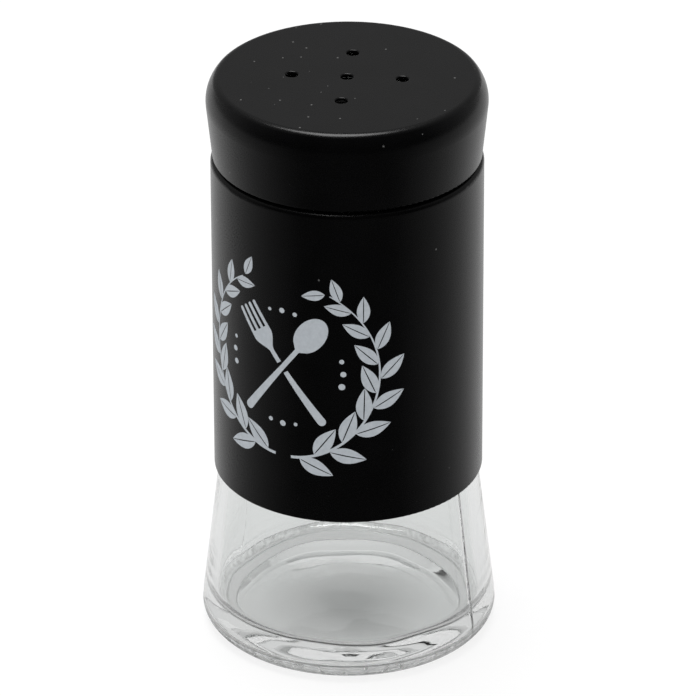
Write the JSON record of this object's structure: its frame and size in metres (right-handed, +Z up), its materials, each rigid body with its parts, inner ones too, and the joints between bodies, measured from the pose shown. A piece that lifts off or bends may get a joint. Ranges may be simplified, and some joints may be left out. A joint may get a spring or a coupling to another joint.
{
  "type": "spice shaker",
  "caption": "Round glass spice shaker with a flared foot, a painted metal sleeve and a screw cap whose flat top is pierced with pouring holes.",
  "frame": {"origin": "middle of the foot, on the surface that the shaker stands on", "axes": "+Z up along the axis of the jar, -Y the printed front of the sleeve, +X to the right of someone who looks at the front"},
  "size_m": [0.0494, 0.0494, 0.1],
  "materials": {
    "clear_glass": "clear, polished, with mould seams",
    "black_paint": "satin black powder paint on steel sheet",
    "clear_glue": "clear set adhesive",
    "black_plastic": "moulded, fine matt",
    "white_seal": "soft closed-cell foam"
  },
  "bodies": {
    "jar": {"glass_jar": "clear_glass", "body_sleeve": "black_paint", "sleeve_glue_pads": "clear_glue"},
    "seal": {"seal_washer": "white_seal"},
    "cap": {"cap_shell": "black_paint", "cap_insert": "black_plastic"}
  },
  "joints": [
    {"name": "cap_lift", "type": "slide", "parent": "jar", "child": "seal", "axis": [0, 0, 1], "range_m": [0, 0.01703]},
    {"name": "cap_turn", "type": "hinge", "parent": "seal", "child": "cap", "pos_m": [0, 0, 0.0982], "axis": [0, 0, 1], "range_deg": [0, 1440]}
  ],
  "couplings": [
    {"joint": "cap_lift", "follows": "cap_turn", "m_per_rad": 0.0006737}
  ]
}
